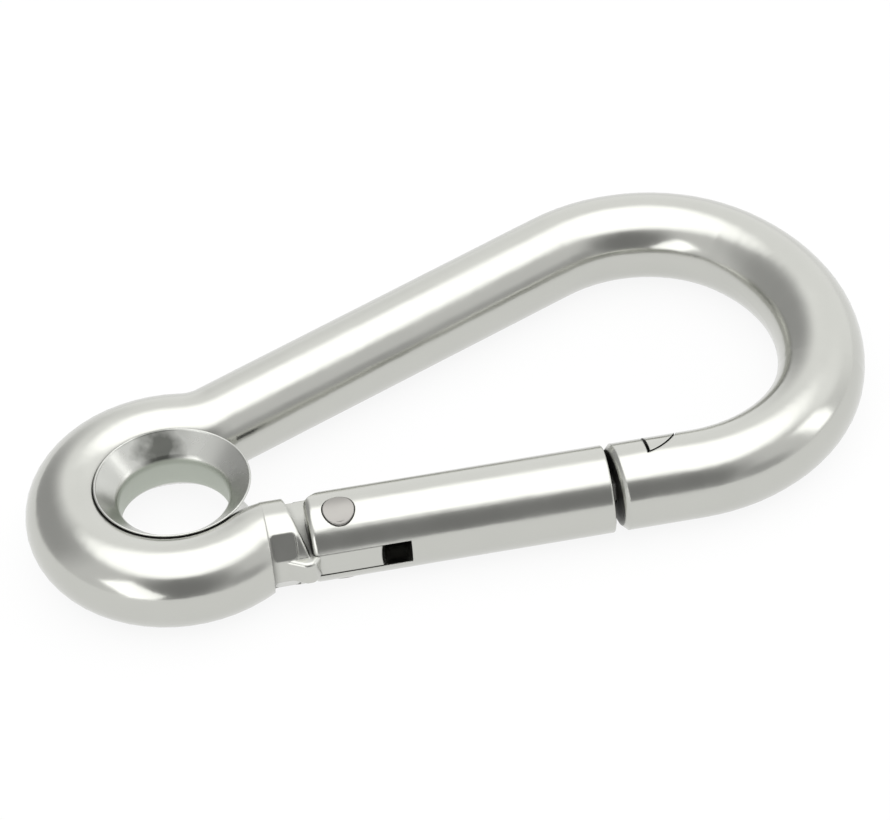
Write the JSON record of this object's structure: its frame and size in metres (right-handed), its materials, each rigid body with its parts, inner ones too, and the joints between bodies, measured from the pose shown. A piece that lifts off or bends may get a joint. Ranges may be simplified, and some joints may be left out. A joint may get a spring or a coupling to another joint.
{
  "type": "snap hook with eyelet",
  "caption": "Polished steel snap hook bent from round bar, with a flared eyelet in one end and a sprung gate that opens inwards.",
  "frame": {"origin": "centre of the eyelet's bore, on its axis and half way through the bar's thickness", "axes": "+X from the eyelet to the bow, along the hook's long axis; +Z along the bore's axis; the gate is on the -Y side and the spine on the +Y side"},
  "size_m": [0.1, 0.0526, 0.0102],
  "materials": {
    "hook_steel": "polished stainless steel",
    "eyelet_steel": "polished stainless steel",
    "gate_steel": "polished stainless steel",
    "rivet_steel": "polished stainless steel",
    "spring_wire": "drawn stainless spring wire",
    "plunger_steel": "turned stainless steel"
  },
  "bodies": {
    "hook": {"hook_body": "hook_steel", "eyelet": "eyelet_steel"},
    "gate": {"gate": "gate_steel", "pivot_rivet": "rivet_steel", "gate_spring": "spring_wire"},
    "plunger": {"spring_plunger": "plunger_steel"}
  },
  "joints": [
    {"name": "gate_swing", "type": "hinge", "parent": "hook", "child": "gate", "pos_m": [0.01501, -0.01316, 0], "axis": [0, 0, 1], "range_deg": [0, 42], "stiffness_Nm_per_rad": 0.03, "springref_deg": -34.38},
    {"name": "plunger_slide", "type": "slide", "parent": "gate", "child": "plunger", "axis": [0.9763, -0.2164, 0], "range_m": [0, 0.0015], "deforming": ["gate_spring"]}
  ],
  "couplings": [
    {"joint": "plunger_slide", "follows": "gate_swing", "m_per_rad": 0.002}
  ]
}
